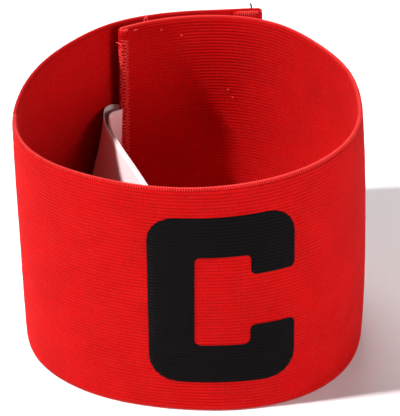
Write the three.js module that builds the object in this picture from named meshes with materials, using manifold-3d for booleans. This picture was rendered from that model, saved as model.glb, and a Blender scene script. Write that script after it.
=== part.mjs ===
// Captain armband: one elastic strip, hemmed at both ends, curled into an open loop that stands on its
// lower edge. The ends overlap at the back, with a hook-and-loop patch between the two layers. A block
// letter C is printed on the front, and a folded care label is sewn in at the inner end.
// Millimetres, +Z up, the printed front faces -Y, the origin is the middle of the base.

import * as THREE from "three";
import Module from "manifold-3d";
import { mergeVertices } from "three/addons/utils/BufferGeometryUtils.js";

// The strip
const BAND_WIDTH = 70;
const ELASTIC_THICK = 1.3;
const LOOP_RADIUS = 47;
const OUTER_HEM = 8.5;
const INNER_HEM = 2.8;
const HEM_THICK = 1.2;
const HEM_INSET = 0.8;
const HEM_BEVEL = 0.4;

// The overlap at the back
const CLEARANCE = 0.3;
const PATCH_THICK = 1.5;
const PATCH_LENGTH = 20;
const PATCH_WIDTH = 54;
const PATCH_FROM_INNER_END = 4;
const END_SPRING = 3.8;

// The printed letter
const PRINT_THICK = 0.4;
const LETTER_HEIGHT = 51;
const LETTER_WIDTH = 38.4;
const LETTER_STROKE = 12;
const LETTER_LIP = 6;
const LETTER_CORNER = 7.5;
const LETTER_INNER_CORNER = 1.6;
const LETTER_ANGLE = -81.8;
const LETTER_RISE = 0.5;

// The care label
const LABEL_WIDTH = 25;
const LABEL_THICK = 1;
const LABEL_TOP = 45;
const LABEL_LENGTH = 56;

// How finely the curved pieces are cut into flats
const STATION_STEP = 2.5;
const LEVELS = 4;
const LABEL_STATIONS = 48;
const LABEL_LEVELS = 4;

// Reach of the loop from its middle at three heights, as shares of the loop radius. The angles count
// anticlockwise from +X, and the rows run clockwise from the inner end, round the front, to the back.
const LOOP = [
  { at: 120, top: 0.94, middle: 0.945, floor: 0.95 },
  { at: 104, top: 0.965, middle: 0.965, floor: 0.97 },
  { at: 85, top: 1, middle: 1, floor: 1 },
  { at: 65, top: 1.02, middle: 1.02, floor: 1.01 },
  { at: 45, top: 0.975, middle: 0.985, floor: 0.98 },
  { at: 20, top: 0.93, middle: 0.955, floor: 0.96 },
  { at: -5, top: 0.93, middle: 0.975, floor: 0.98 },
  { at: -30, top: 0.975, middle: 1.03, floor: 1.045 },
  { at: -60, top: 1, middle: 1.025, floor: 1.04 },
  { at: -90, top: 1.02, middle: 1.005, floor: 0.995 },
  { at: -120, top: 1.05, middle: 1.035, floor: 1.02 },
  { at: -150, top: 1.095, middle: 1.08, floor: 1.06 },
  { at: -175, top: 1.015, middle: 1.02, floor: 1.01 },
  { at: -200, top: 0.985, middle: 0.985, floor: 0.985 },
  { at: -225, top: 1.005, middle: 1.005, floor: 1.005 },
];

// Where the outer end lies over the inner one: how far it springs off it, as shares of END_SPRING.
const OVERLAP = [
  { at: -241, spring: 0.13 },
  { at: -256, spring: 0.03 },
  { at: -270, spring: 0 },
  { at: -281, spring: 0.25 },
  { at: -290, spring: 0.95 },
];

// Route of the label's upper and lower edge from the inner end, as shares of its length, to the left and
// to the front. The upper edge bulges to the left before it turns. The lower edge starts round the inside
// corner of the end's fold and goes straight ahead.
const LABEL_ROUTE = [
  { topLeft: 0, topFront: 0, lowLeft: -0.012, lowFront: 0.04 },
  { topLeft: 0.015, topFront: 0.003, lowLeft: -0.02, lowFront: 0.056 },
  { topLeft: 0.045, topFront: -0.002, lowLeft: -0.032, lowFront: 0.08 },
  { topLeft: 0.07, topFront: 0.04, lowLeft: -0.05, lowFront: 0.12 },
  { topLeft: 0.06, topFront: 0.17, lowLeft: -0.08, lowFront: 0.19 },
  { topLeft: 0.02, topFront: 0.3, lowLeft: -0.12, lowFront: 0.285 },
  { topLeft: -0.095, topFront: 0.605, lowLeft: -0.225, lowFront: 0.575 },
  { topLeft: -0.2, topFront: 0.895, lowLeft: -0.325, lowFront: 0.865 },
];

const wasm = await Module();
wasm.setup();

// A natural cubic spline through (x, y) points with x rising.
function spline(xs, ys) {
  const last = xs.length - 1;
  const bend = new Array(xs.length).fill(0);
  const carry = new Array(xs.length).fill(0);
  for (let i = 1; i < last; i++) {
    const ratio = (xs[i] - xs[i - 1]) / (xs[i + 1] - xs[i - 1]);
    const weight = ratio * bend[i - 1] + 2;
    const after = (ys[i + 1] - ys[i]) / (xs[i + 1] - xs[i]);
    const before = (ys[i] - ys[i - 1]) / (xs[i] - xs[i - 1]);
    bend[i] = (ratio - 1) / weight;
    carry[i] = ((6 * (after - before)) / (xs[i + 1] - xs[i - 1]) - ratio * carry[i - 1]) / weight;
  }
  for (let i = last - 1; i >= 0; i--) bend[i] = bend[i] * bend[i + 1] + carry[i];
  return (x) => {
    let i = 1;
    while (i < last && xs[i] < x) i++;
    const span = xs[i] - xs[i - 1];
    const a = (xs[i] - x) / span;
    const b = 1 - a;
    const cubic = ((a ** 3 - a) * bend[i - 1] + (b ** 3 - b) * bend[i]) * (span ** 2 / 6);
    return a * ys[i - 1] + b * ys[i] + cubic;
  };
}

// Reach in millimetres at an angle and a height. The overlap is the inner layer's own reach, plus the
// elastic, the patch and its two clearances, plus the spring of the free end.
const LAYER_STEP = ELASTIC_THICK + PATCH_THICK + 2 * CLEARANCE;
const FIRST_ANGLE = LOOP[0].at;
const LAST_ANGLE = OVERLAP[OVERLAP.length - 1].at;
const turned = (angle) => FIRST_ANGLE - angle;

function reachAtHeight(column) {
  const xs = LOOP.map((row) => turned(row.at));
  const ys = LOOP.map((row) => row[column] * LOOP_RADIUS);
  const inner = spline(xs, ys);
  for (const row of OVERLAP) {
    xs.push(turned(row.at));
    ys.push(inner(turned(row.at + 360)) + LAYER_STEP + row.spring * END_SPRING);
  }
  return spline(xs, ys);
}

const reach = {
  top: reachAtHeight("top"),
  middle: reachAtHeight("middle"),
  floor: reachAtHeight("floor"),
};

// The middle of the elastic at an angle and a height, with the three heights joined by a smooth belly.
function onMiddle(angle, z) {
  const up = z / BAND_WIDTH;
  const x = turned(angle);
  const belly = 4 * up * (1 - up);
  const straight = up * reach.top(x) + (1 - up) * reach.floor(x);
  const r = straight + belly * (reach.middle(x) - (reach.top(x) + reach.floor(x)) / 2);
  const a = THREE.MathUtils.degToRad(angle);
  return new THREE.Vector3(r * Math.cos(a), r * Math.sin(a), z);
}

// A point on the strip, moved outwards from its middle along the wall's own level normal.
function onStrip(angle, z, outwards) {
  const step = 0.05;
  const along = onMiddle(angle - step, z).sub(onMiddle(angle + step, z)).normalize();
  const outward = new THREE.Vector3(-along.y, along.x, 0);
  return onMiddle(angle, z).addScaledVector(outward, outwards);
}

// Length along the strip from the inner end, as a table to turn lengths into angles.
const ANGLE_STEP = 0.25;
const lengths = [0];
for (let angle = FIRST_ANGLE; angle > LAST_ANGLE; angle -= ANGLE_STEP) {
  const piece = onMiddle(angle, BAND_WIDTH / 2).distanceTo(onMiddle(angle - ANGLE_STEP, BAND_WIDTH / 2));
  lengths.push(lengths[lengths.length - 1] + piece);
}
const STRIP_LENGTH = lengths[lengths.length - 1];

function angleAt(length) {
  let i = 1;
  while (i < lengths.length - 1 && lengths[i] < length) i++;
  const part = (length - lengths[i - 1]) / (lengths[i] - lengths[i - 1]);
  return FIRST_ANGLE - (i - 1 + part) * ANGLE_STEP;
}

function lengthAt(angle) {
  const i = Math.floor(turned(angle) / ANGLE_STEP);
  const part = turned(angle) / ANGLE_STEP - i;
  return lengths[i] + part * (lengths[i + 1] - lengths[i]);
}

// Even steps from one number to another, both included.
function steps(from, to, count) {
  return Array.from({ length: count + 1 }, (_, i) => from + ((to - from) * i) / count);
}

// A closed wall: every (station, level) has a point on face a and one on face b, and the four rims are
// closed between them. Face a is seen with the stations running to the right and the levels up.
function wall(stations, levels, faceA, faceB) {
  const points = [];
  const rows = levels.length;
  const columns = stations.length;
  for (const face of [faceA, faceB]) {
    for (const s of stations) {
      for (const z of levels) points.push(...face(s, z).toArray());
    }
  }
  const a = (i, j) => i * rows + j;
  const b = (i, j) => columns * rows + i * rows + j;
  const index = [];
  const quad = (p, q, r, s) => index.push(p, q, r, p, r, s);
  for (let i = 0; i < columns - 1; i++) {
    for (let j = 0; j < rows - 1; j++) {
      quad(a(i, j), a(i + 1, j), a(i + 1, j + 1), a(i, j + 1));
      quad(b(i, j), b(i, j + 1), b(i + 1, j + 1), b(i + 1, j));
    }
    quad(a(i, rows - 1), a(i + 1, rows - 1), b(i + 1, rows - 1), b(i, rows - 1));
    quad(a(i, 0), b(i, 0), b(i + 1, 0), a(i + 1, 0));
  }
  for (let j = 0; j < rows - 1; j++) {
    quad(a(0, j), a(0, j + 1), b(0, j + 1), b(0, j));
    quad(a(columns - 1, j), b(columns - 1, j), b(columns - 1, j + 1), a(columns - 1, j + 1));
  }
  const geometry = new THREE.BufferGeometry();
  geometry.setAttribute("position", new THREE.Float32BufferAttribute(points, 3));
  geometry.setIndex(index);
  return geometry;
}

function toSolid(geometry) {
  const bare = geometry.clone();
  bare.deleteAttribute("normal");
  bare.deleteAttribute("uv");
  const merged = mergeVertices(bare, 1e-5);
  return new wasm.Manifold(
    new wasm.Mesh({
      numProp: 3,
      vertProperties: new Float32Array(merged.attributes.position.array),
      triVerts: new Uint32Array(merged.index.array),
    }),
  );
}

function fromSolid(solid) {
  const mesh = solid.getMesh();
  const geometry = new THREE.BufferGeometry();
  geometry.setAttribute("position", new THREE.BufferAttribute(mesh.vertProperties, 3));
  geometry.setIndex(new THREE.BufferAttribute(mesh.triVerts, 1));
  return geometry;
}

// The elastic strip with its end folded back on the inside at both ends. The fold is sewn down flat and
// stops a little short of the strip's two edges.
function band() {
  const stations = [
    0,
    INNER_HEM,
    ...steps(
      INNER_HEM + HEM_BEVEL,
      STRIP_LENGTH - OUTER_HEM - HEM_BEVEL,
      Math.round((STRIP_LENGTH - OUTER_HEM - INNER_HEM) / STATION_STEP),
    ),
    ...steps(STRIP_LENGTH - OUTER_HEM, STRIP_LENGTH, Math.ceil(OUTER_HEM / STATION_STEP)),
  ];
  const levels = [
    0,
    HEM_INSET,
    ...steps(HEM_INSET + HEM_BEVEL, BAND_WIDTH - HEM_INSET - HEM_BEVEL, LEVELS),
    BAND_WIDTH - HEM_INSET,
    BAND_WIDTH,
  ];
  const half = ELASTIC_THICK / 2;
  const isHem = (s, z) => {
    const inLength = s <= INNER_HEM || s >= STRIP_LENGTH - OUTER_HEM;
    return inLength && z > HEM_INSET && z < BAND_WIDTH - HEM_INSET;
  };
  const outside = (s, z) => onStrip(angleAt(s), z, half);
  const inside = (s, z) => onStrip(angleAt(s), z, isHem(s, z) ? -half - HEM_THICK : -half);
  return wall(stations, levels, inside, outside);
}

// A thin wall on one side of the strip, between two lengths and two heights.
function overlay(from, to, low, high, near, far) {
  const stations = steps(from, to, Math.max(2, Math.round((to - from) / STATION_STEP)));
  const levels = steps(low, high, LEVELS);
  const nearFace = (s, z) => onStrip(angleAt(s), z, near);
  const farFace = (s, z) => onStrip(angleAt(s), z, far);
  return wall(stations, levels, nearFace, farFace);
}

// The hook patch is sewn to the inside of the outer layer, opposite the inner end.
function hookPatch() {
  const seam = -ELASTIC_THICK / 2 - CLEARANCE;
  const end = lengthAt(FIRST_ANGLE - 360) + PATCH_FROM_INNER_END + PATCH_LENGTH;
  const low = (BAND_WIDTH - PATCH_WIDTH) / 2;
  return overlay(end - PATCH_LENGTH, end, low, low + PATCH_WIDTH, seam - PATCH_THICK, seam);
}

// The outline of a block C in strip coordinates, its middle at (0, 0), open to the right.
function letterOutline() {
  const right = LETTER_WIDTH / 2;
  const left = -right;
  const top = LETTER_HEIGHT / 2;
  const armUnder = top - LETTER_STROKE;
  const lip = armUnder - LETTER_LIP;
  const stem = left + LETTER_STROKE;
  const lipLeft = right - LETTER_STROKE;
  const r = LETTER_CORNER;
  const q = LETTER_INNER_CORNER;
  const turn = Math.PI / 2;
  const shape = new THREE.Shape();
  shape.absarc(right - r, top - r, r, 0, turn, false);
  shape.absarc(left + r, top - r, r, turn, 2 * turn, false);
  shape.absarc(left + r, -top + r, r, 2 * turn, 3 * turn, false);
  shape.absarc(right - r, -top + r, r, 3 * turn, 4 * turn, false);
  shape.absarc(right - q, -lip - q, q, 0, turn, false);
  shape.absarc(lipLeft + q, -lip - q, q, turn, 2 * turn, false);
  shape.absarc(lipLeft - q, -armUnder + q, q, 0, -turn, true);
  shape.absarc(stem + q, -armUnder + q, q, -turn, -2 * turn, true);
  shape.absarc(stem + q, armUnder - q, q, 2 * turn, turn, true);
  shape.absarc(lipLeft - q, armUnder - q, q, turn, 0, true);
  shape.absarc(lipLeft + q, lip + q, q, 2 * turn, 3 * turn, false);
  shape.absarc(right - q, lip + q, q, 3 * turn, 4 * turn, false);
  return shape;
}

// The print: a thin wall over the front, cut to the outline of the letter. The outline is laid along the
// wall first, so that the letter keeps its width on the curve.
function letter() {
  const near = ELASTIC_THICK / 2 + CLEARANCE;
  const middle = lengthAt(LETTER_ANGLE);
  const margin = STATION_STEP;
  const from = middle - LETTER_WIDTH / 2 - margin;
  const to = middle + LETTER_WIDTH / 2 + margin;
  const height = BAND_WIDTH / 2 + LETTER_RISE;
  const half = (LETTER_HEIGHT + margin) / 2;
  const film = overlay(from, to, height - half, height + half, near, near + PRINT_THICK);
  const points = letterOutline()
    .getPoints(5)
    .map((p) => new THREE.Vector2(onStrip(angleAt(middle - p.x), height, near).x, p.y + height));
  const cutter = new THREE.ExtrudeGeometry(new THREE.Shape(points), {
    depth: LOOP_RADIUS,
    bevelEnabled: false,
  });
  cutter.rotateX(Math.PI / 2);
  cutter.translate(0, -LOOP_RADIUS / 2, 0);
  return fromSolid(toSolid(film).intersect(toSolid(cutter)));
}

// The care label, folded double and sewn in at the inner end. A point on it at a share of its length and
// a share of its width, moved sideways from its middle.
const topRail = labelRail("topLeft", "topFront");
const lowRail = labelRail("lowLeft", "lowFront");

function labelRail(left, front) {
  const root = onStrip(FIRST_ANGLE, LABEL_TOP, 0);
  const off = onMiddle(FIRST_ANGLE, LABEL_TOP).sub(onMiddle(FIRST_ANGLE - 1, LABEL_TOP)).normalize();
  root.addScaledVector(off, CLEARANCE).setZ(0);
  const points = LABEL_ROUTE.map(
    (row) =>
      new THREE.Vector3(root.x - row[left] * LABEL_LENGTH, root.y - row[front] * LABEL_LENGTH, 0),
  );
  return new THREE.CatmullRomCurve3(points, false, "centripetal");
}

function onLabel(share, up, sideways) {
  const at = (t) => lowRail.getPointAt(t).lerp(topRail.getPointAt(t), up);
  const step = 0.015;
  const along = at(Math.min(1, share + step)).sub(at(Math.max(0, share - step))).normalize();
  const point = at(share).addScaledVector(new THREE.Vector3(-along.y, along.x, 0), sideways);
  return point.setZ(LABEL_TOP - LABEL_WIDTH * (1 - up));
}

function label() {
  const half = LABEL_THICK / 2;
  const stations = steps(0, 1, LABEL_STATIONS);
  const levels = steps(0, 1, LABEL_LEVELS);
  const rightFace = (t, up) => onLabel(t, up, half);
  const leftFace = (t, up) => onLabel(t, up, -half);
  return wall(stations, levels, leftFace, rightFace);
}

const elastic = new THREE.MeshStandardMaterial({ color: 0xc4161a, roughness: 0.9, metalness: 0 });
const print = new THREE.MeshStandardMaterial({ color: 0x161314, roughness: 0.7, metalness: 0 });
const hooks = new THREE.MeshStandardMaterial({ color: 0x8e1013, roughness: 0.95, metalness: 0 });
const satin = new THREE.MeshStandardMaterial({ color: 0xf3f1ef, roughness: 0.6, metalness: 0 });

// The assembly, moved so that the origin is the middle of its base.
const armband = new THREE.Group();
armband.add(
  named("band", band(), elastic),
  named("hook_patch", hookPatch(), hooks),
  named("letter_c", letter(), print),
  named("label", label(), satin),
);
const box = new THREE.Box3().setFromObject(armband);
const middle = box.getCenter(new THREE.Vector3()).setZ(box.min.z);
armband.position.sub(middle);

function named(name, geometry, material) {
  const mesh = new THREE.Mesh(geometry, material);
  mesh.name = name;
  return mesh;
}

export default armband;
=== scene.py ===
"""Captain armband: ribbed red elastic curled into an open loop, with a printed letter and a label."""

import math

import bmesh
import bpy
import numpy as np
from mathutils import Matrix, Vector


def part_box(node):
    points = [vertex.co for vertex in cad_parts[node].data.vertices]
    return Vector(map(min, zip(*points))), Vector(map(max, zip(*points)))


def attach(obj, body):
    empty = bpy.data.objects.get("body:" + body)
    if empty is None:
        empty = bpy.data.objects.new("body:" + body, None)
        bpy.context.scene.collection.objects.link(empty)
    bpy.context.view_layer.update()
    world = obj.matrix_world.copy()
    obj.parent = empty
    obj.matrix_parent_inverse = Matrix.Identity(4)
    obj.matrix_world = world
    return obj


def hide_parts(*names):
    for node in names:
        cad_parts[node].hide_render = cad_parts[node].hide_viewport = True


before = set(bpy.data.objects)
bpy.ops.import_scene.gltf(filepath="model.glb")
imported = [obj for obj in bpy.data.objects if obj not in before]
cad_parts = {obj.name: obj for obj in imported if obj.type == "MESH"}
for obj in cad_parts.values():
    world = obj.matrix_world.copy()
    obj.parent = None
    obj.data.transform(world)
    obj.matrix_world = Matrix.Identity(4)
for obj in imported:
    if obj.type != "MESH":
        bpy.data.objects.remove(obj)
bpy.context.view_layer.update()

# The view. The camera looks down at the printed front from half a metre away, at 32 degrees above the
# table, with a long lens.
MM = 0.001
CAMERA_DISTANCE = 540 * MM
CAMERA_ELEVATION = math.radians(32)
CAMERA_LENS = 168.75
CAMERA_AIM = Vector((1.928, -3.427, 35)) * MM

bpy.ops.object.select_all(action="DESELECT")
bpy.ops.object.camera_add(rotation=(math.pi / 2 - CAMERA_ELEVATION, 0, 0))
camera = bpy.context.object
camera.name = "camera"
camera.data.lens = CAMERA_LENS
back = Vector((0, -math.cos(CAMERA_ELEVATION), math.sin(CAMERA_ELEVATION)))
camera.location = CAMERA_AIM + back * CAMERA_DISTANCE
bpy.context.scene.camera = camera

# The elastic band. One strip 70 mm wide, woven from red polyester over rubber threads, with fine ribs
# along it. Both ends are folded back on the inside and sewn down. It is curled by hand into an open loop
# whose ends overlap at the back, and it stands on its lower edge.
BAND_WIDTH = 70 * MM
BAND_THICK = 1.24 * MM
SOLID_THICK = 1.3 * MM
LOOP_RADIUS = 47 * MM
OUTER_HEM = 8.5 * MM
INNER_HEM = 2.8 * MM
HEM_INSET = 0.35 * MM
FOLD_RADIUS = 0.66 * MM
LAYER_STEP = 3.4 * MM
END_SPRING = 3.8 * MM
RIB_PITCH = 1 * MM
RIB_RELIEF = 0.2 * MM
RIB_UNEVEN = 0.3
SLACK = 0.05 * MM
SELVEDGE = 1 * MM
EDGE_ROOM = 0.08 * MM
EDGE_THICK = 0.6 * MM
EDGE_TAPER = 1.6 * MM
ROWS_PER_RIB = 4
STATIONS = 138

# The ribs' section, from groove to groove, as shares of the rib's pitch and relief.
RIB_AT = (0, 0.25, 0.5, 0.75, 1)
RIB_HEIGHT = (-1, 0.45, 0.8, 0.45, -1)

# Reach of the loop from its middle at three heights, as shares of the loop radius, from the inner end
# clockwise round the front to the back.
LOOP = (
    dict(at=120, top=0.96, middle=0.972, floor=0.985),
    dict(at=104, top=0.985, middle=0.985, floor=0.985),
    dict(at=85, top=1.02, middle=1.02, floor=1.02),
    dict(at=65, top=1.035, middle=1.03, floor=1.02),
    dict(at=45, top=0.975, middle=0.985, floor=0.98),
    dict(at=20, top=0.93, middle=0.955, floor=0.96),
    dict(at=-5, top=0.93, middle=0.975, floor=0.98),
    dict(at=-30, top=0.975, middle=1.03, floor=1.045),
    dict(at=-60, top=1, middle=1.035, floor=1.055),
    dict(at=-90, top=1.02, middle=1.005, floor=0.995),
    dict(at=-120, top=1.05, middle=1.035, floor=1.02),
    dict(at=-150, top=1.095, middle=1.08, floor=1.06),
    dict(at=-175, top=1.015, middle=1.02, floor=1.01),
    dict(at=-200, top=0.985, middle=0.985, floor=0.985),
    dict(at=-225, top=1.005, middle=1.005, floor=1.005),
)
# The outer end over the inner one: how far it springs off it, as shares of END_SPRING.
OVERLAP = (
    dict(at=-241, spring=0.13),
    dict(at=-256, spring=0.03),
    dict(at=-270, spring=0),
    dict(at=-281, spring=0.25),
    dict(at=-290, spring=0.95),
)
FIRST = LOOP[0]["at"]
LAST_TURN = FIRST - OVERLAP[-1]["at"]


def natural_spline(xs, ys):
    """A smooth curve through (x, y) points with x rising, straight at its two ends."""
    xs, ys = np.array(xs, float), np.array(ys, float)
    gap = np.diff(xs)
    slope = np.diff(ys) / gap
    matrix, right = np.eye(len(xs)), np.zeros(len(xs))
    for i in range(1, len(xs) - 1):
        matrix[i, i - 1 : i + 2] = gap[i - 1], 2 * (gap[i - 1] + gap[i]), gap[i]
        right[i] = 6 * (slope[i] - slope[i - 1])
    bend = np.linalg.solve(matrix, right)

    def at(x):
        i = np.clip(np.searchsorted(xs, x), 1, len(xs) - 1)
        b = (x - xs[i - 1]) / gap[i - 1]
        a = 1 - b
        cubic = (a**3 - a) * bend[i - 1] + (b**3 - b) * bend[i]
        return a * ys[i - 1] + b * ys[i] + cubic * gap[i - 1] ** 2 / 6

    return at


def loop_reach(column):
    """Reach at one of the three heights, over the angle turned from the inner end."""
    turned = [FIRST - row["at"] for row in LOOP]
    reach = [row[column] * LOOP_RADIUS for row in LOOP]
    inner_layer = natural_spline(turned, reach)
    for row in OVERLAP:
        turned.append(FIRST - row["at"])
        reach.append(inner_layer(turned[-1] - 360) + LAYER_STEP + row["spring"] * END_SPRING)
    return natural_spline(turned, reach)


REACH = {column: loop_reach(column) for column in ("top", "middle", "floor")}


def on_middle(turned, height):
    """The middle of the elastic, with its three heights joined by a smooth belly."""
    turned, height = np.broadcast_arrays(turned, height)
    up = height / BAND_WIDTH
    top, middle, floor = (REACH[column](turned) for column in ("top", "middle", "floor"))
    reach = up * top + (1 - up) * floor + 4 * up * (1 - up) * (middle - (top + floor) / 2)
    angle = np.radians(FIRST - turned)
    return np.stack([reach * np.cos(angle), reach * np.sin(angle), height], axis=-1)


TURNS = np.arange(0, LAST_TURN + 0.1, 0.25)
half_way_up = on_middle(TURNS, BAND_WIDTH / 2)
LENGTHS = np.append(0, np.cumsum(np.linalg.norm(np.diff(half_way_up, axis=0), axis=1)))
STRIP_LENGTH = LENGTHS[-1]


def in_loop(length, height, out):
    """A point of the strip at a length from the inner end, moved out from the elastic's middle."""
    length, height, out = np.broadcast_arrays(length, height, out)
    turned = np.interp(length, LENGTHS, TURNS)
    ahead = on_middle(turned + 0.05, height) - on_middle(turned - 0.05, height)
    ahead /= np.linalg.norm(ahead, axis=-1, keepdims=True)
    outward = np.stack([-ahead[..., 1], ahead[..., 0], 0 * out], axis=-1)
    return on_middle(turned, height) + outward * out[..., None]


def loop_place():
    """How far the loop's middle lies from the frame's origin, from the box of the band's node."""
    length = np.linspace(0, STRIP_LENGTH, 800)
    heights = (0, BAND_WIDTH / 2, BAND_WIDTH)
    outs = (-SOLID_THICK / 2, SOLID_THICK / 2)
    faces = np.concatenate([in_loop(length, z, out) for z in heights for out in outs])
    low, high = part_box("band")
    place = (np.array(low) + np.array(high) - faces.min(axis=0) - faces.max(axis=0)) / 2
    place[2] = 0
    return place


PLACE = loop_place()


def on_strip(length, height, out):
    """The same point, in the frame."""
    return in_loop(length, height, out) + PLACE


def rib_relief(length, height):
    """How far the ribs stand above or below the face. No two ribs are quite alike."""
    rib = (height - SELVEDGE) / RIB_PITCH
    ribbed = (rib > -1e-6) & (height < BAND_WIDTH - SELVEDGE + 1e-9)
    shape = np.interp((rib + 1e-9) % 1, RIB_AT, RIB_HEIGHT)
    waves = np.sin(2.4 * rib + length / (3.7 * MM)) * np.cos(1.7 * rib - length / (11 * MM))
    return np.where(ribbed, RIB_RELIEF / 2 * shape * (1 + RIB_UNEVEN * waves), 0)


def wall_half(height):
    """Half the wall's thickness: it thins towards the strip's two edges."""
    inward = BAND_WIDTH / 2 - np.abs(height - BAND_WIDTH / 2)
    share = np.clip(inward / EDGE_TAPER, 0, 1)
    return (EDGE_THICK + (BAND_THICK - EDGE_THICK) * share * (2 - share)) / 2


def slack(length, height):
    """Soft elastic is never quite even: a slow waviness of the whole wall."""
    wave = np.sin(length / (9 * MM) + height / (14 * MM))
    wave = wave + np.sin(length / (5.3 * MM) - height / (8 * MM) + 1)
    return SLACK * wave


def cross_section():
    """A ring round the strip, up outside, over, down inside and under: heights and outward shares."""
    ribs = round((BAND_WIDTH - 2 * SELVEDGE) / RIB_PITCH)
    heights = SELVEDGE + np.arange(ribs * ROWS_PER_RIB + 1) * RIB_PITCH / ROWS_PER_RIB
    turn = np.radians(np.arange(0, 181, 30))
    top = BAND_WIDTH - EDGE_ROOM - EDGE_THICK / 2 * (1 - np.sin(turn))
    z = np.concatenate([heights, top, heights[::-1], BAND_WIDTH - top])
    side = np.concatenate([heights * 0 + 1, np.cos(turn), heights * 0 - 1, -np.cos(turn)])
    return z, side


def folded_end(hem):
    """Rows from a hem's cut edge to the main run: distance from the end, offset, and the turn left."""
    reach = FOLD_RADIUS + BAND_THICK / 2
    rows = [(s, -2 * FOLD_RADIUS, math.pi) for s in np.linspace(hem, reach, 4)[:-1]]
    for turn in np.linspace(math.pi, 0, 8):
        rows.append((reach - FOLD_RADIUS * math.sin(turn), FOLD_RADIUS * (math.cos(turn) - 1), turn))
    return rows


def strip_stations():
    """Along the whole strip: where its middle runs, its offset, and which way its outside faces."""
    start = [(s, out, -turn) for s, out, turn in folded_end(INNER_HEM)]
    end = [(STRIP_LENGTH - s, out, turn) for s, out, turn in folded_end(OUTER_HEM)[::-1]]
    main = [(s, 0, 0) for s in np.linspace(start[-1][0], end[0][0], STATIONS)[1:-1]]
    return np.array(start + main + end)


ALONG = strip_stations()
SEWN = np.append(0, np.cumsum(np.hypot(np.diff(ALONG[:, 0]), np.diff(ALONG[:, 1]))))
main_start = int(np.flatnonzero(ALONG[:, 2] == 0)[0])
TO_MAIN = SEWN[main_start] - ALONG[main_start, 0]


def on_sheet(sewn, height, thick):
    """A point at a length of the whole cloth from its first cut edge, folds included."""
    sewn, height, thick = np.broadcast_arrays(sewn, height, thick)
    run, offset, facing = (np.interp(sewn, SEWN, column) for column in ALONG.T)
    tucked = HEM_INSET / (BAND_WIDTH / 2) * (1 - np.cos(facing)) / 2
    level = BAND_WIDTH / 2 + (height - BAND_WIDTH / 2) * (1 - tucked)
    return on_strip(run + thick * np.sin(facing), level, offset + thick * np.cos(facing))


def ring_faces(stations, rows):
    """Faces of a tube of stations by rows, closed at both ends by joining its two sides."""
    i, j = np.meshgrid(np.arange(stations - 1), np.arange(rows), indexing="ij")
    after = (j + 1) % rows
    faces = np.stack([i * rows + j, i * rows + after, (i + 1) * rows + after, (i + 1) * rows + j], -1)
    faces = faces.reshape(-1, 4).tolist()
    half = rows // 2
    for first in (0, (stations - 1) * rows):
        for k in range(half - 1):
            a, b = first + k, first + k + 1
            faces.append([a, b, first + rows - 2 - k, first + rows - 1 - k])
    return faces


def cloth_mesh(name, points, faces, uvs):
    """A piece of cloth from its points and faces, with its length and height kept as a UV map."""
    mesh = bpy.data.meshes.new(name)
    mesh.from_pydata(np.asarray(points).reshape(-1, 3).tolist(), [], faces)
    shell = bmesh.new()
    shell.from_mesh(mesh)
    flat = np.asarray(uvs).reshape(-1, 2)
    layer = shell.loops.layers.uv.new("strip")
    for face in shell.faces:
        for loop in face.loops:
            loop[layer].uv = flat[loop.vert.index]
    bmesh.ops.recalc_face_normals(shell, faces=shell.faces)
    shell.to_mesh(mesh)
    shell.free()
    mesh.shade_smooth()
    piece = bpy.data.objects.new(name, mesh)
    bpy.context.scene.collection.objects.link(piece)
    return piece


def woven_band():
    """The whole cloth from cut edge to cut edge, with its ribs, edges and folds."""
    z, side = (part[None, :] for part in cross_section())
    sewn = SEWN[:, None]
    thick = side * wall_half(z) + rib_relief(sewn, z) * np.sign(side) + slack(sewn, z)
    points = on_sheet(sewn, z, thick)
    u, v = np.broadcast_arrays(sewn, z)
    return cloth_mesh("elastic_band", points, ring_faces(*points.shape[:2]), np.stack([u, v], -1))


def maths(material, operation, *values):
    """A Math node; a value may be a number or another node's output."""
    node = material.node_tree.nodes.new("ShaderNodeMath")
    node.operation = operation
    for socket, value in zip(node.inputs, values):
        if isinstance(value, (int, float)):
            socket.default_value = value
        else:
            material.node_tree.links.new(value, socket)
    return node.outputs[0]


def colour_mix(material, share, first, second, kind="MIX"):
    """A colour between two others. Each may be a colour or another node's output."""
    node = material.node_tree.nodes.new("ShaderNodeMix")
    node.data_type = "RGBA"
    node.blend_type = kind
    factor, a, b = node.inputs[0], node.inputs[6], node.inputs[7]
    for socket, value in ((factor, share), (a, first), (b, second)):
        if isinstance(value, bpy.types.NodeSocket):
            material.node_tree.links.new(value, socket)
        else:
            socket.default_value = value
    return node.outputs[2]


def noise(material, scale, detail=2.0):
    """Soft random patches, fixed to the piece."""
    place = material.node_tree.nodes.new("ShaderNodeTexCoord")
    node = material.node_tree.nodes.new("ShaderNodeTexNoise")
    node.inputs["Scale"].default_value = scale
    node.inputs["Detail"].default_value = detail
    material.node_tree.links.new(place.outputs["Object"], node.inputs["Vector"])
    return node.outputs["Fac"]


def strip_place(material):
    """Length along the cloth and height across it, from its UV map."""
    strip = material.node_tree.nodes.new("ShaderNodeUVMap")
    strip.uv_map = "strip"
    split = material.node_tree.nodes.new("ShaderNodeSeparateXYZ")
    material.node_tree.links.new(strip.outputs["UV"], split.inputs[0])
    return split.outputs["X"], split.outputs["Y"]


def fine_relief(material, principled, height, strength, depth):
    """The threads' own relief, too fine for the mesh."""
    bump = material.node_tree.nodes.new("ShaderNodeBump")
    bump.inputs["Strength"].default_value = strength
    bump.inputs["Distance"].default_value = depth
    material.node_tree.links.new(height, bump.inputs["Height"])
    material.node_tree.links.new(bump.outputs[0], principled.inputs["Normal"])


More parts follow.
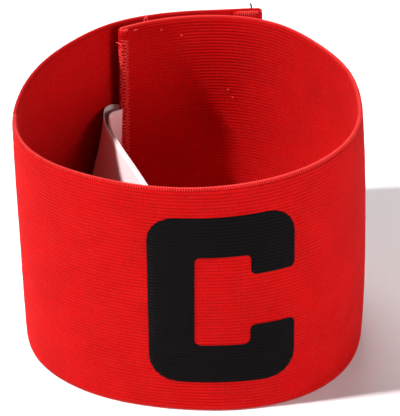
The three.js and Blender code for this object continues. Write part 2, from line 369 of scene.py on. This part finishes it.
def new_cloth(name, roughness, sheen, sheen_tint):
    """A matt cloth material, with its constant sockets set on the shader itself."""
    material = bpy.data.materials.new(name)
    material.use_nodes = True
    principled = material.node_tree.nodes["Principled BSDF"]
    principled.inputs["Roughness"].default_value = roughness
    principled.inputs["Specular IOR Level"].default_value = 0.06
    principled.inputs["Sheen Weight"].default_value = sheen
    principled.inputs["Sheen Roughness"].default_value = 0.5
    principled.inputs["Sheen Tint"].default_value = sheen_tint
    return material, principled


ELASTIC_RED = (0.53, 0.0016, 0.002, 1)
GROOVE_SHADE_RED = (0.25, 0.0006, 0.001, 1)
KNIT_HIGHLIGHT_RED = (0.72, 0.022, 0.022, 1)
EDGE_HIGHLIGHT_RED = (0.78, 0.05, 0.046, 1)
KNIT_PITCH = 0.55 * MM

# Along the strip the painted highlight on the edges gives way to plain red, on the way to the outer end.
FADE_FROM = 225 * MM
FADE_TO = 255 * MM
EDGE_HIGHLIGHT_SHARE = 0.85
FADED_HIGHLIGHT_SHARE = 0.1


def elastic_colour(material, length, height, knit, fuzzy):
    """Red with painted shade in the grooves between the ribs, painted highlights on the knit, and a
    painted highlight along the edges.
    """
    turns = maths(material, "SUBTRACT", height, SELVEDGE)
    turns = maths(material, "MULTIPLY", turns, 2 * math.pi / RIB_PITCH)
    crest = maths(material, "MULTIPLY_ADD", maths(material, "COSINE", turns), -0.5, 0.5)
    groove = maths(material, "POWER", maths(material, "SUBTRACT", 1.0, crest), 3.0)
    cloudy = noise(material, 90.0)
    patchy = noise(material, 260.0)
    # Painted shade: the grooves between the ribs are darkened in colour.
    groove_shade = maths(material, "MULTIPLY", groove, maths(material, "MULTIPLY_ADD", patchy, 0.9, 0.05))
    colour = colour_mix(material, groove_shade, ELASTIC_RED, GROOVE_SHADE_RED)
    # Painted highlight: the knit's threads are lightened and pinker in patches, where light would catch
    # them.
    knit_highlight = maths(material, "POWER", patchy, 1.6)
    knit_highlight = maths(material, "MULTIPLY", maths(material, "POWER", knit, 2.0), knit_highlight)
    colour = colour_mix(material, maths(material, "MULTIPLY", knit_highlight, 0.6), colour, KNIT_HIGHLIGHT_RED)
    shade = maths(material, "MULTIPLY_ADD", knit, 0.06, 0.94)
    shade = maths(material, "MULTIPLY", shade, maths(material, "MULTIPLY_ADD", cloudy, 0.3, 0.85))
    shade = maths(material, "MULTIPLY", shade, maths(material, "MULTIPLY_ADD", fuzzy, 0.5, 0.75))
    grey = material.node_tree.nodes.new("ShaderNodeCombineColor")
    for socket in grey.inputs:
        material.node_tree.links.new(shade, socket)
    colour = colour_mix(material, 1.0, colour, grey.outputs[0], "MULTIPLY")
    # Painted highlight: a paler red along both edges of the strip.
    from_middle = maths(material, "SUBTRACT", height, BAND_WIDTH / 2)
    from_middle = maths(material, "ABSOLUTE", from_middle)
    edge_zone = BAND_WIDTH / 2 - EDGE_ROOM - EDGE_THICK / 8
    edge = maths(material, "GREATER_THAN", from_middle, edge_zone)
    fade = material.node_tree.nodes.new("ShaderNodeMapRange")
    fade.inputs["From Min"].default_value = FADE_FROM
    fade.inputs["From Max"].default_value = FADE_TO
    fade.inputs["To Min"].default_value = EDGE_HIGHLIGHT_SHARE
    fade.inputs["To Max"].default_value = FADED_HIGHLIGHT_SHARE
    material.node_tree.links.new(length, fade.inputs["Value"])
    edge_highlight = maths(material, "MULTIPLY", edge, fade.outputs["Result"])
    return colour_mix(material, edge_highlight, colour, EDGE_HIGHLIGHT_RED)


def elastic_material():
    """Ribbed elastic with a fine upright knit across the ribs."""
    material, principled = new_cloth("red_elastic", 0.9, 0.06, (1, 0.3, 0.3, 1))
    length, height = strip_place(material)
    wander = maths(material, "MULTIPLY", noise(material, 500.0), 3.0)
    stitch = maths(material, "MULTIPLY", length, 2 * math.pi / KNIT_PITCH)
    stitch = maths(material, "ADD", stitch, wander)
    knit = maths(material, "MULTIPLY_ADD", maths(material, "SINE", stitch), 0.5, 0.5)
    fuzzy = noise(material, 1400.0, 3.0)
    colour = elastic_colour(material, length, height, knit, fuzzy)
    material.node_tree.links.new(colour, principled.inputs["Base Color"])
    rough = maths(material, "ADD", maths(material, "MULTIPLY", knit, 0.25), fuzzy)
    fine_relief(material, principled, rough, 0.5, 0.12 * MM)
    return material


band = woven_band()
band.data.materials.append(elastic_material())
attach(band, "root")
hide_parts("band")

# The sewing. Weft yarn turns round both edges of the strip in small loops, all along it. Both hems are
# sewn down with zigzags of red thread, and a few loose ends of yarn stand off the cloth.
YARN_THICK = 0.17 * MM
YARN_PITCH = 0.64 * MM
YARN_REACH = 0.4 * MM
TOOTH_THICK = 0.24 * MM
TOOTH_PITCH = 0.62 * MM
TOOTH_REACH = 0.6 * MM
YARN_STEPS = 8
THREAD_THICK = 0.24 * MM
ZIGZAG_PITCH = 1.1 * MM
ZIGZAG_MARGIN = 3 * MM
ZIGZAG_LIFT = 0.1 * MM
LOOSE_THICK = 0.25 * MM
DARK_THICK = 0.6 * MM
CUT_ROOM = 0.3 * MM
FACE_OUT = BAND_THICK / 2 + RIB_RELIEF / 2
CLOTH_LENGTH = SEWN[-1]
OUTER_YARN_FROM = TO_MAIN + 240 * MM
OUTER_HEM_MAIN = TO_MAIN + STRIP_LENGTH - OUTER_HEM
OUTER_HEM_CUT = CLOTH_LENGTH - OUTER_HEM


def sewn_threads(name, runs, thick, material):
    """Threads as round tubes with closed ends, all in one piece. Each run is a list of points."""
    curve = bpy.data.curves.new(name, "CURVE")
    curve.dimensions = "3D"
    curve.bevel_depth = thick / 2
    curve.bevel_resolution = 0
    curve.use_fill_caps = True
    for run in runs:
        spline = curve.splines.new("POLY")
        spline.points.add(len(run) - 1)
        spline.points.foreach_set("co", np.append(run, np.ones((len(run), 1)), axis=1).ravel())
    piece = bpy.data.objects.new(name, curve)
    bpy.context.scene.collection.objects.link(piece)
    bpy.ops.object.select_all(action="DESELECT")
    piece.select_set(True)
    bpy.context.view_layer.objects.active = piece
    bpy.ops.object.convert(target="MESH")
    piece = bpy.context.object
    piece.data.shade_smooth()
    piece.data.materials.append(material)
    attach(piece, "root")
    return piece


def yarn_material(name, colour, dark):
    """Spun yarn: two close shades of one colour."""
    material, principled = new_cloth(name, 0.8, 0.1, (1, 0.5, 0.5, 1))
    mixed = colour_mix(material, noise(material, 700.0), dark, colour)
    material.node_tree.links.new(mixed, principled.inputs["Base Color"])
    return material


def edge_loops(top, first, last, pitch, reach, thick):
    """Yarn that winds round one edge of the strip between two lengths of the cloth."""
    count = int((last - first) / pitch) * YARN_STEPS
    turn = np.arange(count) * 2 * math.pi / YARN_STEPS
    sewn = first + pitch * (turn - 0.85 * np.sin(turn)) / (2 * math.pi)
    inward = EDGE_ROOM - thick / 3 + reach * (1 - np.sin(turn))
    height = BAND_WIDTH - inward if top else inward
    off = np.clip(1.7 * np.cos(turn), -1, 1) * (wall_half(height) + thick / 5)
    return on_sheet(sewn, height, off + slack(sewn, height))


def both_edges(*loops):
    """The same yarn round the upper and the lower edge."""
    return [edge_loops(top, *loops) for top in (True, False)]


def zigzag(first, width, high=BAND_WIDTH - ZIGZAG_MARGIN):
    """A zigzag of thread up the strip, from one length of the cloth, on its outer face."""
    count = int((high - ZIGZAG_MARGIN) / ZIGZAG_PITCH) * 2
    height = np.linspace(ZIGZAG_MARGIN, high, count)
    sewn = first + width * (np.arange(count) % 2) * (1 + 0.25 * np.sin(2.3 * np.arange(count)))
    between = (height[1:] + height[:-1]) / 2
    heights = np.sort(np.append(height, between))
    swing = np.interp(heights, height, sewn)
    lift = FACE_OUT + ZIGZAG_LIFT * np.where(np.arange(len(heights)) % 2, 1, -0.6)
    return on_sheet(swing, heights, lift)


# The first yarn's paler red is a painted highlight on the edge yarn. The dull one is the same yarn
# without it, used towards the outer end.
highlit_yarn = yarn_material("highlit_yarn", (0.84, 0.075, 0.068, 1), (0.6, 0.02, 0.02, 1))
dull_yarn = yarn_material("dull_yarn", (0.5, 0.006, 0.007, 1), (0.35, 0.002, 0.003, 1))
pale_yarn = yarn_material("pale_yarn", (0.95, 0.13, 0.12, 1), (0.8, 0.03, 0.03, 1))
dark_yarn = yarn_material("dark_yarn", (0.02, 0.006, 0.02, 1), (0.008, 0.003, 0.008, 1))

edge_yarn = sewn_threads(
    "edge_yarn",
    both_edges(CUT_ROOM, OUTER_YARN_FROM, YARN_PITCH, YARN_REACH, YARN_THICK),
    YARN_THICK,
    highlit_yarn,
)
outer_yarn = sewn_threads(
    "outer_yarn",
    both_edges(OUTER_YARN_FROM, CLOTH_LENGTH - CUT_ROOM, YARN_PITCH, YARN_REACH, YARN_THICK),
    YARN_THICK,
    dull_yarn,
)
# The inner hem has two zigzags on the inside and one on the outside, and the outer hem two on each side.
hem_stitches = sewn_threads(
    "hem_stitches",
    [
        zigzag(0.4 * MM, 1.5 * MM),
        zigzag(1.5 * MM, 1.2 * MM, high=0.92 * BAND_WIDTH),
        zigzag(TO_MAIN + 2 * MM, 1.5 * MM),
        zigzag(CLOTH_LENGTH - 2.6 * MM, 1.8 * MM),
        zigzag(CLOTH_LENGTH - 5.4 * MM, 1.8 * MM),
        zigzag(OUTER_HEM_MAIN + 0.8 * MM, 1.8 * MM),
        zigzag(OUTER_HEM_MAIN + 3.6 * MM, 1.8 * MM),
    ],
    THREAD_THICK,
    pale_yarn,
)
hem_teeth = sewn_threads(
    "hem_teeth",
    both_edges(OUTER_HEM_CUT + 1.6 * MM, CLOTH_LENGTH - 0.4 * MM, TOOTH_PITCH, TOOTH_REACH, TOOTH_THICK),
    TOOTH_THICK,
    pale_yarn,
)


def loose_end(sewn, height, thick, rise, lean, curl_over=0.8):
    """A short end of yarn that stands off the strip and curls over."""
    share = np.linspace(0, 1, 9)
    curl = np.sin(share * math.pi * curl_over)
    return on_sheet(sewn + lean * share**2, height + rise * curl, thick * (1 + 0.3 * share))


# Three ends stand off the hem and the upper edge of the inner end, and five bits of fluff cling to the
# inside.
loose_yarn = sewn_threads(
    "loose_yarn",
    [
        loose_end(1.9 * MM, 64.5 * MM, 1.0 * MM, 1.2 * MM, 1.2 * MM),
        loose_end(TO_MAIN + 9 * MM, 69.6 * MM, 0.7 * MM, 1.3 * MM, 0.8 * MM),
        loose_end(TO_MAIN + 10 * MM, 69.6 * MM, 0.9 * MM, 1.6 * MM, -0.6 * MM),
        loose_end(TO_MAIN + 5 * MM, 68.2 * MM, -0.8 * MM, 0.4 * MM, 1.1 * MM),
        loose_end(TO_MAIN + 13.5 * MM, 66.6 * MM, -0.8 * MM, 0.5 * MM, 0.3 * MM),
        loose_end(TO_MAIN + 20 * MM, 64.2 * MM, -0.8 * MM, 0.3 * MM, -0.6 * MM),
        loose_end(TO_MAIN + 34 * MM, 46 * MM, -0.8 * MM, 0.3 * MM, -0.5 * MM),
        loose_end(TO_MAIN + 35 * MM, 44 * MM, -0.8 * MM, -0.4 * MM, 0.4 * MM),
    ],
    LOOSE_THICK,
    pale_yarn,
)
dark_end = sewn_threads(
    "dark_end",
    [loose_end(OUTER_HEM_MAIN + 5.4 * MM, 69.6 * MM, 0.2 * MM, 1.7 * MM, -0.5 * MM, curl_over=0.45)],
    DARK_THICK,
    dark_yarn,
)

# The hook patch. A strip of woven tape with rows of small stiff hooks, sewn to the inside of the outer
# end. It grips the felted face of the inner end and is hidden between the two.
PATCH_LENGTH = 20 * MM
PATCH_WIDTH = 54 * MM
PATCH_FROM_INNER_END = 4 * MM
TAPE_THICK = 0.4 * MM
HOOK_RISE = 1.05 * MM
HOOK_THICK = 0.17 * MM
HOOK_ROWS = 11
HOOKS_PER_ROW = 40
HOOK_STAGGER = 0.4
TAPE_RED = (0.36, 0.012, 0.014, 1)
TAPE_SHADE = (0.2, 0.006, 0.008, 1)


def thin_wall(name, middle, thick):
    """A closed wall round a grid of middle points, with its length and width as a UV map."""
    along = np.gradient(middle, axis=0)
    across = np.gradient(middle, axis=1)
    normal = np.cross(along, across)
    normal /= np.linalg.norm(normal, axis=-1, keepdims=True)
    ring = np.concatenate([middle + normal * thick / 2, (middle - normal * thick / 2)[:, ::-1]], axis=1)
    run = np.append(0, np.cumsum(np.linalg.norm(np.diff(middle[:, 0], axis=0), axis=1)))
    rise = np.append(0, np.cumsum(np.linalg.norm(np.diff(middle[0], axis=0), axis=1)))
    u, v = np.broadcast_arrays(run[:, None], np.concatenate([rise, rise[::-1]])[None, :])
    return cloth_mesh(name, ring, ring_faces(*ring.shape[:2]), np.stack([u, v], -1))


patch_end = np.interp(360, TURNS, LENGTHS) + PATCH_FROM_INNER_END + PATCH_LENGTH
patch_low = (BAND_WIDTH - PATCH_WIDTH) / 2
tape_out = -FACE_OUT - TAPE_THICK / 2
tape_lengths = np.linspace(patch_end - PATCH_LENGTH, patch_end, 25)[:, None]
tape_heights = np.linspace(patch_low, patch_low + PATCH_WIDTH, 37)[None, :]
hook_tape = thin_wall("hook_tape", on_strip(tape_lengths, tape_heights, tape_out), TAPE_THICK)


def one_hook(length, height, lean):
    """A hook stands off the tape and bends over along the strip."""
    bend = np.radians(np.linspace(0, 200, 6))
    radius = HOOK_RISE / 3
    along = np.append(0, radius * (1 - np.cos(bend))) * lean
    off = np.append(0, HOOK_RISE - radius + radius * np.sin(bend))
    return on_strip(length + along, height, tape_out - TAPE_THICK / 2 - off)


hooks = []
for row in range(HOOK_ROWS):
    for k in range(HOOKS_PER_ROW):
        length = patch_end - PATCH_LENGTH * (row + 0.6) / (HOOK_ROWS + 0.2)
        height = patch_low + PATCH_WIDTH * (k + 0.3 + HOOK_STAGGER * (row % 2)) / HOOKS_PER_ROW
        hooks.append(one_hook(length, height, 1 if row % 2 else -1))
tape_red = yarn_material("tape_red", TAPE_RED, TAPE_SHADE)
tape_hooks = sewn_threads("tape_hooks", hooks, HOOK_THICK, tape_red)
hook_tape.data.materials.append(tape_red)
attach(hook_tape, "root")
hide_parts("hook_patch")

# The printed letter. A plain block C in matt black flock print, pressed into the ribs of the front, so
# that they show through it.
LETTER_HEIGHT = 51.5 * MM
LETTER_WIDTH = 38.4 * MM
LETTER_STROKE = 12 * MM
LETTER_LIP = 6 * MM
LETTER_CORNER = 7.5 * MM
LETTER_INNER_CORNER = 1.6 * MM
LETTER_ANGLE = -81.8
LETTER_RISE = 0.45 * MM
LETTER_SLANT = 0.008
PRINT_LIFT = 0.04 * MM
PRINT_THICK = 0.09 * MM
PRINT_STEP = 2 * MM
SPARE_ROWS = 2
PRINT_BLACK = (0.001, 0.0006, 0.0007, 1)
PRINT_DUST = (0.005, 0.0035, 0.004, 1)


def arc(x, y, radius, start, end):
    """Points on a quarter circle, in degrees."""
    turns = np.radians(np.linspace(start, end, 6))
    return [(x + radius * math.cos(turn), y + radius * math.sin(turn)) for turn in turns]


def letter_outline():
    """The block C round its own middle, open to the right, pressed on a little askew."""
    right, top = LETTER_WIDTH / 2, LETTER_HEIGHT / 2
    r, q = LETTER_CORNER, LETTER_INNER_CORNER
    arm_under = top - LETTER_STROKE
    lip = arm_under - LETTER_LIP
    stem, lip_left = LETTER_STROKE - right, right - LETTER_STROKE
    upper = arc(stem + q, arm_under - q, q, 180, 90) + arc(lip_left - q, arm_under - q, q, 90, 0)
    upper += arc(lip_left + q, lip + q, q, 180, 270) + arc(right - q, lip + q, q, 270, 360)
    upper += arc(right - r, top - r, r, 0, 90) + arc(r - right, top - r, r, 90, 180)
    lower = [(x, -y) for x, y in upper[::-1]]
    return [(x, y - LETTER_SLANT * x) for x, y in upper + lower]


def cut_across(film, place, normal):
    """A cut straight through the whole film."""
    everything = film.verts[:] + film.edges[:] + film.faces[:]
    bmesh.ops.bisect_plane(film, geom=everything, plane_co=place, plane_no=normal, dist=1e-8)


def printed_letter():
    """The outline cut along every rib row and across the strip, then laid on the ribs."""
    film = bmesh.new()
    corners = [film.verts.new((x, y, 0)) for x, y in letter_outline()]
    film.faces.new(corners)
    film.normal_update()
    bmesh.ops.triangulate(film, faces=film.faces)
    centre = BAND_WIDTH / 2 + LETTER_RISE
    row = RIB_PITCH / ROWS_PER_RIB
    first_row = round((centre - LETTER_HEIGHT / 2 - SELVEDGE) / row) - SPARE_ROWS
    for k in range(first_row, first_row + round(LETTER_HEIGHT / row) + 2 * SPARE_ROWS + 1):
        cut_across(film, (0, SELVEDGE + k * row - centre, 0), (0, 1, 0))
    for x in np.arange(-LETTER_WIDTH / 2, LETTER_WIDTH / 2, PRINT_STEP):
        cut_across(film, (x, 0, 0), (1, 0, 0))
    bmesh.ops.remove_doubles(film, verts=film.verts, dist=1e-7)
    film.verts.ensure_lookup_table()
    film.verts.index_update()
    flat = np.array([v.co[:2] for v in film.verts])
    faces = [[v.index for v in face.verts] for face in film.faces]
    rims = [(edge.verts[0].index, edge.verts[1].index) for edge in film.edges if edge.is_boundary]
    film.free()
    turned = FIRST - LETTER_ANGLE
    length = np.interp(turned, TURNS, LENGTHS) - flat[:, 0]
    height = centre + flat[:, 1]
    sewn = length + TO_MAIN
    face = wall_half(height) + rib_relief(sewn, height) + slack(sewn, height)
    under = on_sheet(sewn, height, face + PRINT_LIFT)
    over = on_sheet(sewn, height, face + PRINT_LIFT + PRINT_THICK)
    count = len(flat)
    faces += [[k + count for k in loop[::-1]] for loop in faces]
    faces += [[a, b, b + count, a + count] for a, b in rims]
    uvs = np.stack([length, height], -1)
    return cloth_mesh("printed_letter", np.concatenate([under, over]), faces, np.concatenate([uvs, uvs]))


def print_material():
    """Matt black with a little dust in it."""
    material, principled = new_cloth("black_print", 0.8, 0.02, (1, 0.9, 0.9, 1))
    dust = noise(material, 900.0, 3.0)
    colour = colour_mix(material, dust, PRINT_BLACK, PRINT_DUST)
    material.node_tree.links.new(colour, principled.inputs["Base Color"])
    fine_relief(material, principled, dust, 0.4, 0.08 * MM)
    return material


letter = printed_letter()
letter.data.materials.append(print_material())
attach(letter, "root")
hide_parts("letter_c")

# The care label. A white satin ribbon 25 mm wide, folded double, whose two ends are caught in the hem of
# the inner end. It comes out of the hem to the left, turns, and hangs in the loop towards the front.
# Its lower edge flares out to the left.
LABEL_WIDTH = 25 * MM
LABEL_TOP = 44.2 * MM
LABEL_LENGTH = 56 * MM
LABEL_IN_HEM = 0.8 * MM
LABEL_ROOT = on_strip(LABEL_IN_HEM, LABEL_TOP, 0)
RIBBON_THICK = 0.22 * MM
PLY_HALF_GAP = 0.24 * MM
LABEL_STATIONS = 60
LABEL_ROWS = 17
SATIN_PITCH = 0.25 * MM
# The satin's two shades are tinted pink: painted reflection of light bounced from the red elastic.
SATIN_DIP_RED_BOUNCE = (0.8, 0.62, 0.63, 1)
SATIN_CREST_RED_BOUNCE = (0.9, 0.72, 0.73, 1)

# Routes of the outer and the inner ply's upper edge and of the lower edge that both share. Each point
# is how far it lies to the left and to the front of the hem, as shares of the label's length.
PLY_ROUTE = (
    dict(outer=(0.003, -0.012), inner=(-0.008, 0.022), low=(-0.002, 0.006)),
    dict(outer=(0.041, -0.02), inner=(0.02, 0.038), low=(0.055, 0.02)),
    dict(outer=(0.07, 0), inner=(0.046, 0.056), low=(0.115, 0.065)),
    dict(outer=(0.083, 0.042), inner=(0.062, 0.09), low=(0.165, 0.125)),
    dict(outer=(0.074, 0.16), inner=(0.055, 0.18), low=(0.188, 0.2)),
    dict(outer=(0.036, 0.295), inner=(0.028, 0.3), low=(0.172, 0.3)),
    dict(outer=(-0.084, 0.605), inner=(-0.084, 0.605), low=(0.05, 0.575)),
    dict(outer=(-0.19, 0.895), inner=(-0.19, 0.895), low=(-0.07, 0.84)),
)


def ply_rail(edge):
    """One edge of a ply from above, as a function of the share of its length."""
    left, front = np.array([row[edge] for row in PLY_ROUTE]).T * LABEL_LENGTH
    chord = np.append(0, np.cumsum(np.hypot(np.diff(left), np.diff(front)) ** 0.5))
    fine = np.linspace(0, chord[-1], 400)
    x = LABEL_ROOT[0] - natural_spline(chord, left)(fine)
    y = LABEL_ROOT[1] - natural_spline(chord, front)(fine)
    walked = np.append(0, np.cumsum(np.hypot(np.diff(x), np.diff(y))))
    return lambda share: np.stack([np.interp(share * walked[-1], walked, c) for c in (x, y)], -1)


LOW_RAIL = ply_rail("low")


def on_ply(rail, share, up, sideways):
    """A point of a ply at a share of its length and width, moved to its right side."""
    share, up, sideways = np.broadcast_arrays(share, up, sideways)

    def level(t):
        return LOW_RAIL(t) * (1 - up[..., None]) + rail(t) * up[..., None]

    ahead = level(np.minimum(1, share + 0.012)) - level(np.maximum(0, share - 0.012))
    ahead /= np.linalg.norm(ahead, axis=-1, keepdims=True)
    point = level(share) + np.stack([-ahead[..., 1], ahead[..., 0]], -1) * sideways[..., None]
    return np.concatenate([point, (LABEL_TOP - LABEL_WIDTH * (1 - up))[..., None]], -1)


def folded_label():
    """Out along the outer ply, round the fold at its far end, and back along the inner ply."""
    outer, inner = ply_rail("outer"), ply_rail("inner")
    share = np.linspace(0, 1, LABEL_STATIONS)[:, None]
    up = np.linspace(0, 1, LABEL_ROWS)[None, :]
    out = on_ply(outer, share, up, -PLY_HALF_GAP)
    home = on_ply(inner, share, up, PLY_HALF_GAP)[::-1]
    tip = (out[-1] + home[0]) / 2
    side = (home[0] - out[-1]) / 2
    ahead = out[-1] - out[-2]
    ahead /= np.linalg.norm(ahead, axis=-1, keepdims=True)
    turns = np.linspace(0, math.pi, 8)[1:-1]
    fold = [tip - side * math.cos(a) + ahead * PLY_HALF_GAP * math.sin(a) for a in turns]
    return thin_wall("care_label", np.concatenate([out, np.array(fold), home]), RIBBON_THICK)


def satin_material():
    """White satin ribbon, tinted pink as a painted reflection of light from the red elastic: fine cross
    threads and a soft gloss.
    """
    material, principled = new_cloth("white_satin", 0.5, 0.2, (1, 1, 1, 1))
    length, _ = strip_place(material)
    threads = maths(material, "SINE", maths(material, "MULTIPLY", length, 2 * math.pi / SATIN_PITCH))
    weave = maths(material, "MULTIPLY_ADD", threads, 0.5, 0.5)
    colour = colour_mix(material, weave, SATIN_DIP_RED_BOUNCE, SATIN_CREST_RED_BOUNCE)
    material.node_tree.links.new(colour, principled.inputs["Base Color"])
    fine_relief(material, principled, weave, 0.25, 0.03 * MM)
    return material


label = folded_label()
label.data.materials.append(satin_material())
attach(label, "root")
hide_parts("label")

# The setting: a pale table in a small studio. The key light stands to the left, a fill in front on the
# right, and a broad one behind.
TABLE_SIZE = 6.0
TABLE_WHITE = (0.92, 0.91, 0.92, 1)

bpy.ops.object.select_all(action="DESELECT")
bpy.ops.mesh.primitive_plane_add(size=TABLE_SIZE, location=(0, 0, 0))
table = bpy.context.object
table.name = "table"
pale_table = bpy.data.materials.new("pale_table")
pale_table.use_nodes = True
top = pale_table.node_tree.nodes["Principled BSDF"]
top.inputs["Base Color"].default_value = TABLE_WHITE
top.inputs["Roughness"].default_value = 0.9
top.inputs["Specular IOR Level"].default_value = 0.1
table.data.materials.append(pale_table)


def soft_light(name, azimuth, elevation, distance, size, power):
    """A square studio light that looks at the middle of the band."""
    turn, rise = math.radians(azimuth), math.radians(elevation)
    towards = Vector((math.cos(turn) * math.cos(rise), math.sin(turn) * math.cos(rise), math.sin(rise)))
    bpy.ops.object.light_add(type="AREA", location=towards * distance)
    light = bpy.context.object
    light.name = name
    light.data.size = size
    light.data.energy = power
    light.rotation_euler = towards.to_track_quat("Z", "Y").to_euler()
    return light


soft_light("key", azimuth=193, elevation=51, distance=1.6, size=0.08, power=36)
soft_light("front_fill", azimuth=-45, elevation=18, distance=1.8, size=0.7, power=19.5)
soft_light("back_fill", azimuth=105, elevation=45, distance=1.8, size=1.2, power=18)

world = bpy.data.worlds.new("studio")
bpy.context.scene.world = world
world.use_nodes = True
world.node_tree.nodes["Background"].inputs["Color"].default_value = (1, 1, 1, 1)
world.node_tree.nodes["Background"].inputs["Strength"].default_value = 0.11
bpy.context.scene.view_settings.view_transform = "Standard"
